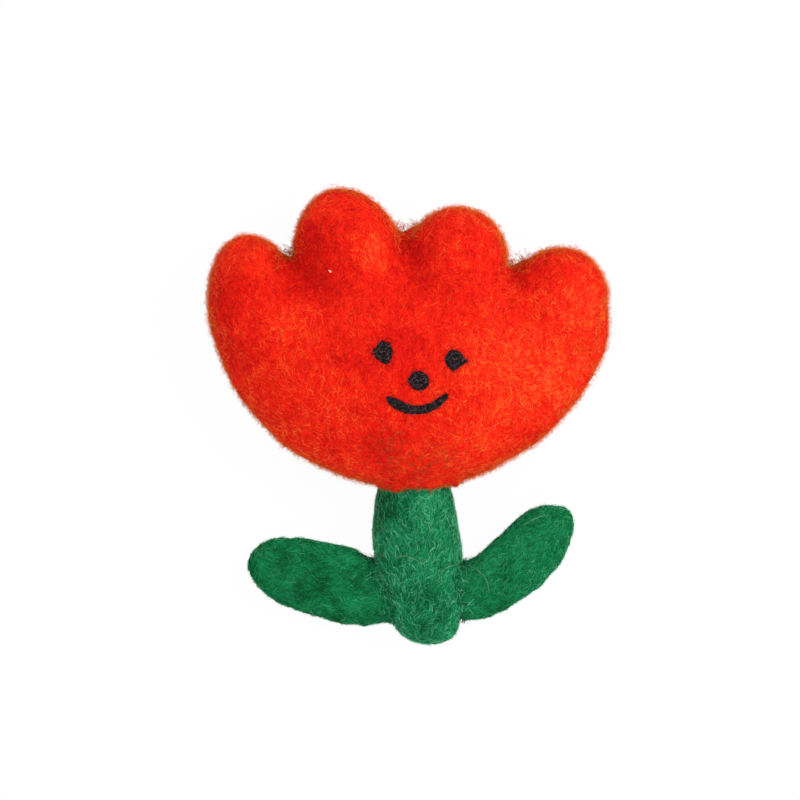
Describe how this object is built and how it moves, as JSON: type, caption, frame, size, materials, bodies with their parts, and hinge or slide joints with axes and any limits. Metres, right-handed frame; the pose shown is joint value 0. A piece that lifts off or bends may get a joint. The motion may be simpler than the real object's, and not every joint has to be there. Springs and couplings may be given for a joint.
{
  "type": "flower ornament",
  "caption": "Needle-felted wool flower: a puffy lobed red bloom with a small smiling face, on a thick green stem with leaves",
  "frame": {"origin": "middle of the flower's footprint, on the table that it lies on", "axes": "+X to the right as the face is seen, +Y from the stem's end to the petal tips, +Z out of the face"},
  "size_m": [0.0726, 0.0828, 0.0249],
  "materials": {
    "red_wool": "red wool felted with a needle, with orange fibres and a short fuzz",
    "green_wool": "deep green wool felted with a needle, with pale green fibres",
    "black_wool": "black wool needled into the red",
    "undyed_wool": "undyed core wool"
  },
  "bodies": {
    "root": {"bloom_cup": "red_wool", "petal_far_left": "red_wool", "petal_mid_left": "red_wool", "petal_mid_right": "red_wool", "petal_far_right": "red_wool", "bloom_core": "undyed_wool", "stem": "green_wool", "leaf_left": "green_wool", "leaf_right": "green_wool", "eye_left": "black_wool", "eye_right": "black_wool", "nose": "black_wool", "mouth": "black_wool"}
  },
  "joints": []
}
